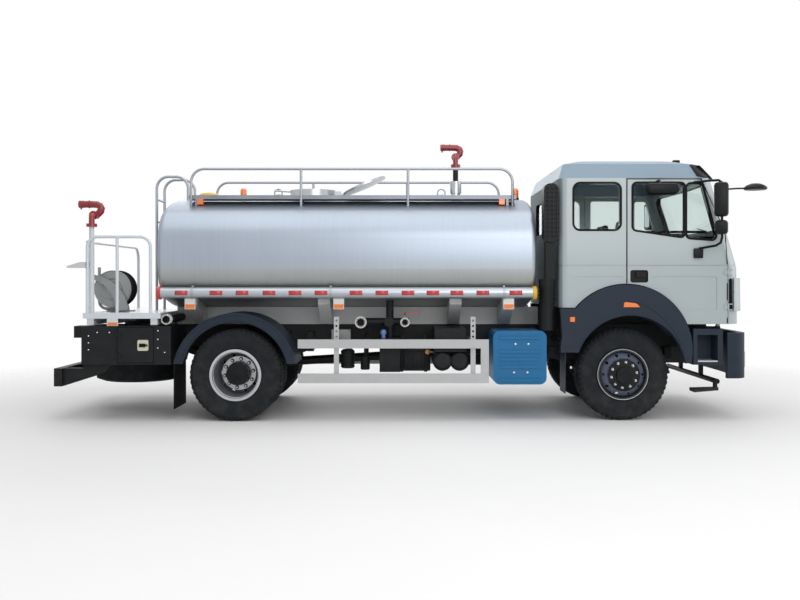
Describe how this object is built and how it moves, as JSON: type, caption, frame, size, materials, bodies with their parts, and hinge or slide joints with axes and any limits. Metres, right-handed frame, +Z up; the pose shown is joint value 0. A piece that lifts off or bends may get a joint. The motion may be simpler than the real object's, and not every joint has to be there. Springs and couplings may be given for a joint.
{
  "type": "water tanker truck",
  "caption": "Two-axle forward-control water tanker truck with a barrel tank, walkway rails, rear work deck, hose reel and swivelling water cannons.",
  "frame": {"origin": "centre of the bounding box's base, on the ground", "axes": "+X forward, +Y to the truck's left, +Z up"},
  "size_m": [8.224, 3.12, 3.407],
  "materials": {
    "cab_paint": "gloss",
    "tank_metal": "brushed",
    "white_paint": "gloss",
    "grey_steel": "satin",
    "chassis_black": "satin",
    "slate_plastic": "matte",
    "black_plastic": "matte",
    "tyre_rubber": "matte",
    "rim_silver": "satin",
    "rim_dark": "satin",
    "blue_plastic": "satin",
    "cannon_red": "gloss",
    "window_glass": "clear",
    "seat_cloth": "woven",
    "alloy": "brushed",
    "cast_metal": "cast",
    "amber_lens": "clear"
  },
  "bodies": {
    "chassis": {"chassis_frame": "chassis_black", "powertrain": "cast_metal", "front_axle": "chassis_black", "rear_axle": "chassis_black", "leaf_springs": "chassis_black", "spare_wheel": "tyre_rubber", "tank_shell": "tank_metal", "tank_subframe": "white_paint", "hose_tubes": "white_paint", "catwalk": "grey_steel", "ladder": "grey_steel", "rear_deck": "white_paint", "reel_stand": "grey_steel", "top_fittings": "grey_steel", "rear_lockers": "chassis_black", "underrun_guard": "chassis_black", "rear_fenders": "slate_plastic", "side_guards": "white_paint", "reagent_tank": "blue_plastic", "fuel_tank": "alloy", "air_tanks": "chassis_black", "water_pipes": "grey_steel", "air_intake": "black_plastic", "front_flares": "slate_plastic", "cab_steps": "slate_plastic", "front_bumper": "slate_plastic", "marker_lamps": "amber_lens"},
    "cab": {"cab_back": "cab_paint", "cab_sides": "cab_paint", "cab_front": "cab_paint", "cab_roof": "cab_paint", "cab_floor": "chassis_black", "cab_glass": "window_glass", "cab_seats": "seat_cloth", "dashboard": "black_plastic", "cab_trim": "black_plastic"},
    "door_right": {"door_right": "cab_paint", "door_glass_right": "window_glass", "mirrors_right": "black_plastic"},
    "door_left": {"door_left": "cab_paint", "door_glass_left": "window_glass", "mirrors_left": "black_plastic"},
    "knuckle_right": {"knuckle_right": "chassis_black"},
    "knuckle_left": {"knuckle_left": "chassis_black"},
    "front_wheel_right": {"front_tyre_right": "tyre_rubber", "front_rim_right": "rim_dark"},
    "front_wheel_left": {"front_tyre_left": "tyre_rubber", "front_rim_left": "rim_dark"},
    "rear_wheels_right": {"rear_tyres_right": "tyre_rubber", "rear_rims_right": "rim_silver"},
    "rear_wheels_left": {"rear_tyres_left": "tyre_rubber", "rear_rims_left": "rim_silver"},
    "manhole_lid": {"manhole_lid": "grey_steel"},
    "locker_door": {"locker_door": "chassis_black"},
    "hose_reel": {"hose_reel": "grey_steel"},
    "rear_turret": {"rear_turret": "cannon_red"},
    "rear_nozzle": {"rear_nozzle": "cannon_red"},
    "front_turret": {"front_turret": "cannon_red"},
    "front_nozzle": {"front_nozzle": "cannon_red"}
  },
  "joints": [
    {"name": "cab_tilt", "type": "hinge", "parent": "chassis", "child": "cab", "pos_m": [3.85, 0, 1.04], "axis": [0, -1, 0], "range_deg": [-50, 0]},
    {"name": "door_right_swing", "type": "hinge", "parent": "cab", "child": "door_right", "pos_m": [3.69, -1.226, 1.5], "axis": [0, 0, 1], "range_deg": [0, 65]},
    {"name": "door_left_swing", "type": "hinge", "parent": "cab", "child": "door_left", "pos_m": [3.69, 1.226, 1.5], "axis": [0, 0, -1], "range_deg": [0, 65]},
    {"name": "steer_left", "type": "hinge", "parent": "chassis", "child": "knuckle_left", "pos_m": [2.492, 0.915, 0.535], "axis": [0, 0, 1], "range_deg": [-35, 35]},
    {"name": "steer_right", "type": "hinge", "parent": "chassis", "child": "knuckle_right", "pos_m": [2.492, -0.915, 0.535], "axis": [0, 0, 1], "range_deg": [-35, 35]},
    {"name": "front_spin_left", "type": "hinge", "parent": "knuckle_left", "child": "front_wheel_left", "pos_m": [2.492, 1.01, 0.535], "axis": [0, 1, 0], "continuous": true},
    {"name": "front_spin_right", "type": "hinge", "parent": "knuckle_right", "child": "front_wheel_right", "pos_m": [2.492, -1.01, 0.535], "axis": [0, 1, 0], "continuous": true},
    {"name": "rear_spin_left", "type": "hinge", "parent": "chassis", "child": "rear_wheels_left", "pos_m": [-2.008, 0.93, 0.535], "axis": [0, 1, 0], "continuous": true},
    {"name": "rear_spin_right", "type": "hinge", "parent": "chassis", "child": "rear_wheels_right", "pos_m": [-2.008, -0.93, 0.535], "axis": [0, 1, 0], "continuous": true},
    {"name": "manhole_lid_swing", "type": "hinge", "parent": "chassis", "child": "manhole_lid", "pos_m": [-0.891, 0, 2.757], "axis": [0, 1, 0], "range_deg": [-157, 0]},
    {"name": "locker_door_swing", "type": "hinge", "parent": "chassis", "child": "locker_door", "pos_m": [-3.37, -1.243, 0.88], "axis": [0, 0, -1], "range_deg": [0, 100]},
    {"name": "hose_reel_spin", "type": "hinge", "parent": "chassis", "child": "hose_reel", "pos_m": [-3.512, -0.82, 1.53], "axis": [0, 1, 0], "continuous": true},
    {"name": "rear_cannon_pan", "type": "hinge", "parent": "chassis", "child": "rear_turret", "pos_m": [-3.7, -1.12, 2.275], "axis": [0, 0, 1], "range_deg": [-170, 170]},
    {"name": "rear_cannon_lift", "type": "hinge", "parent": "rear_turret", "child": "rear_nozzle", "pos_m": [-3.7, -1.06, 2.395], "axis": [0, 1, 0], "range_deg": [-30, 45]},
    {"name": "front_cannon_pan", "type": "hinge", "parent": "chassis", "child": "front_turret", "pos_m": [0.611, 0, 3.105], "axis": [0, 0, 1], "range_deg": [-170, 170]},
    {"name": "front_cannon_lift", "type": "hinge", "parent": "front_turret", "child": "front_nozzle", "pos_m": [0.611, 0.06, 3.225], "axis": [0, 1, 0], "range_deg": [-30, 45]}
  ],
  "couplings": [
    {"joint": "steer_right", "follows": "steer_left", "ratio": 1}
  ]
}
